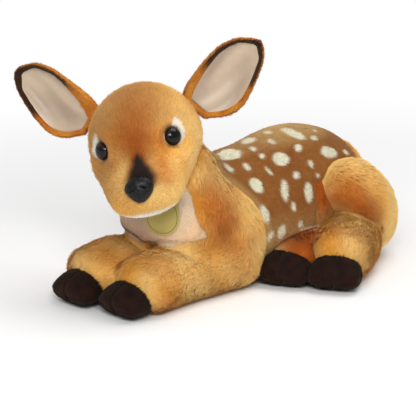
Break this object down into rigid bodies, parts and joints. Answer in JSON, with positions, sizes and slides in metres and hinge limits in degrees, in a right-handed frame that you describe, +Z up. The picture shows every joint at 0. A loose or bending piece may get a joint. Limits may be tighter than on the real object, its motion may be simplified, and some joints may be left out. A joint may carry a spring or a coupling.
{
  "type": "plush fawn lying down",
  "caption": "Plush fawn lying on its belly with its head raised: sewn pile covers over fibre filling, suede hooves, lined ears, and a head, ears and tail that flex.",
  "frame": {"origin": "middle of the belly's flat, on the surface the fawn lies on", "axes": "+Z up, -Y the way the body faces, +X the fawn's own left"},
  "size_m": [0.2573, 0.3631, 0.2397],
  "materials": {
    "gold_pile": "short golden pile with rust shading",
    "rust_pile": "short rust pile",
    "spotted_pile": "short brown pile with cream spots",
    "cream_pile": "very short cream pile",
    "ear_satin": "cream satin",
    "hoof_suede": "dark brown suede",
    "fibre_filling": "loose polyester fibre",
    "pouch_cloth": "plain woven pouch holding plastic pellets",
    "eye_plastic": "polished",
    "nose_plastic": "grained like leather",
    "washer_plastic": "moulded",
    "disc_cloth": "olive gold felted disc with a stitched ring"
  },
  "bodies": {
    "trunk": {"front_cover": "gold_pile", "chest_bib": "cream_pile", "belly_panel": "gold_pile", "back_panel": "spotted_pile", "left_flank_panel": "rust_pile", "right_flank_panel": "rust_pile", "rump_cover": "gold_pile", "body_filling": "fibre_filling", "pellet_pouch": "pouch_cloth", "chest_tag": "disc_cloth", "left_foreleg_cover": "gold_pile", "left_foreleg_filling": "fibre_filling", "left_front_hoof": "hoof_suede", "right_foreleg_cover": "gold_pile", "right_foreleg_filling": "fibre_filling", "right_front_hoof": "hoof_suede", "left_hind_leg_cover": "gold_pile", "left_hind_leg_filling": "fibre_filling", "left_hind_hoof": "hoof_suede", "right_hind_leg_cover": "gold_pile", "right_hind_leg_filling": "fibre_filling", "right_hind_hoof": "hoof_suede"},
    "head": {"head_cover": "gold_pile", "head_filling": "fibre_filling", "left_eye": "eye_plastic", "left_eye_washer": "washer_plastic", "right_eye": "eye_plastic", "right_eye_washer": "washer_plastic", "nose": "nose_plastic", "nose_washer": "washer_plastic"},
    "left_ear": {"left_ear_back": "gold_pile", "left_ear_lining": "ear_satin"},
    "right_ear": {"right_ear_back": "gold_pile", "right_ear_lining": "ear_satin"},
    "tail": {"tail": "gold_pile"}
  },
  "joints": [
    {"name": "head_turn", "type": "hinge", "parent": "trunk", "child": "head", "pos_m": [-0.01, -0.143, 0.145], "axis": [-0.0963, -0.7412, 0.6643], "range_deg": [-12, 12], "stiffness_Nm_per_rad": 2},
    {"name": "left_ear_fold", "type": "hinge", "parent": "head", "child": "left_ear", "pos_m": [0.0146, -0.11034, 0.17008], "axis": [0.5751, 0.4907, -0.6546], "range_deg": [-15, 20], "stiffness_Nm_per_rad": 0.2},
    {"name": "right_ear_fold", "type": "hinge", "parent": "head", "child": "right_ear", "pos_m": [-0.05555, -0.16194, 0.15561], "axis": [0.4282, 0.2465, 0.8694], "range_deg": [-15, 20], "stiffness_Nm_per_rad": 0.2},
    {"name": "tail_lift", "type": "hinge", "parent": "trunk", "child": "tail", "pos_m": [0, 0.1235, 0.08], "axis": [1, 0, 0], "range_deg": [0, 28], "stiffness_Nm_per_rad": 0.1}
  ]
}
